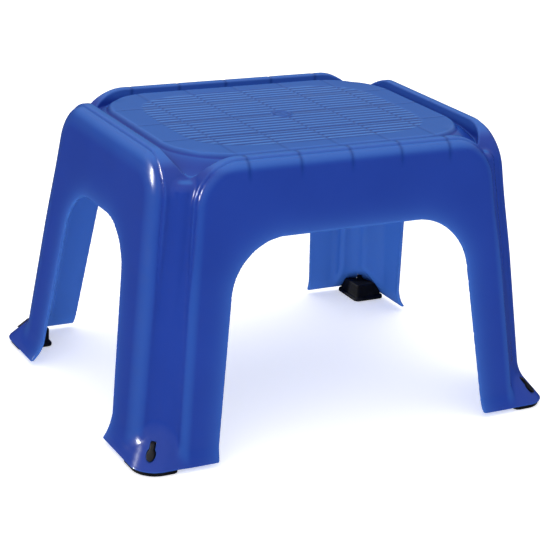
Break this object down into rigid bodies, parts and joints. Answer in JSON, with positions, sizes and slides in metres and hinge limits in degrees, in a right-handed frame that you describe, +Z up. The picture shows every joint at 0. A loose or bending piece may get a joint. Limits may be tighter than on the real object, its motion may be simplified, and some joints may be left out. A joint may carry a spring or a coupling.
{
  "type": "mounting block",
  "caption": "Low moulded plastic mounting block with four splayed legs, arched sides, a ribbed raised tread and rubber feet.",
  "frame": {"origin": "centre of the footprint, on the floor plane the rubber feet stand on", "axes": "+X along the long side of the block, -Y towards the front, +Z up"},
  "size_m": [0.4, 0.3264, 0.2457],
  "materials": {
    "body_plastic": "glossy moulded",
    "foot_rubber": "moulded matte"
  },
  "bodies": {
    "root": {"step_body": "body_plastic", "foot_front_left": "foot_rubber", "foot_front_right": "foot_rubber", "foot_rear_left": "foot_rubber", "foot_rear_right": "foot_rubber"}
  },
  "joints": []
}
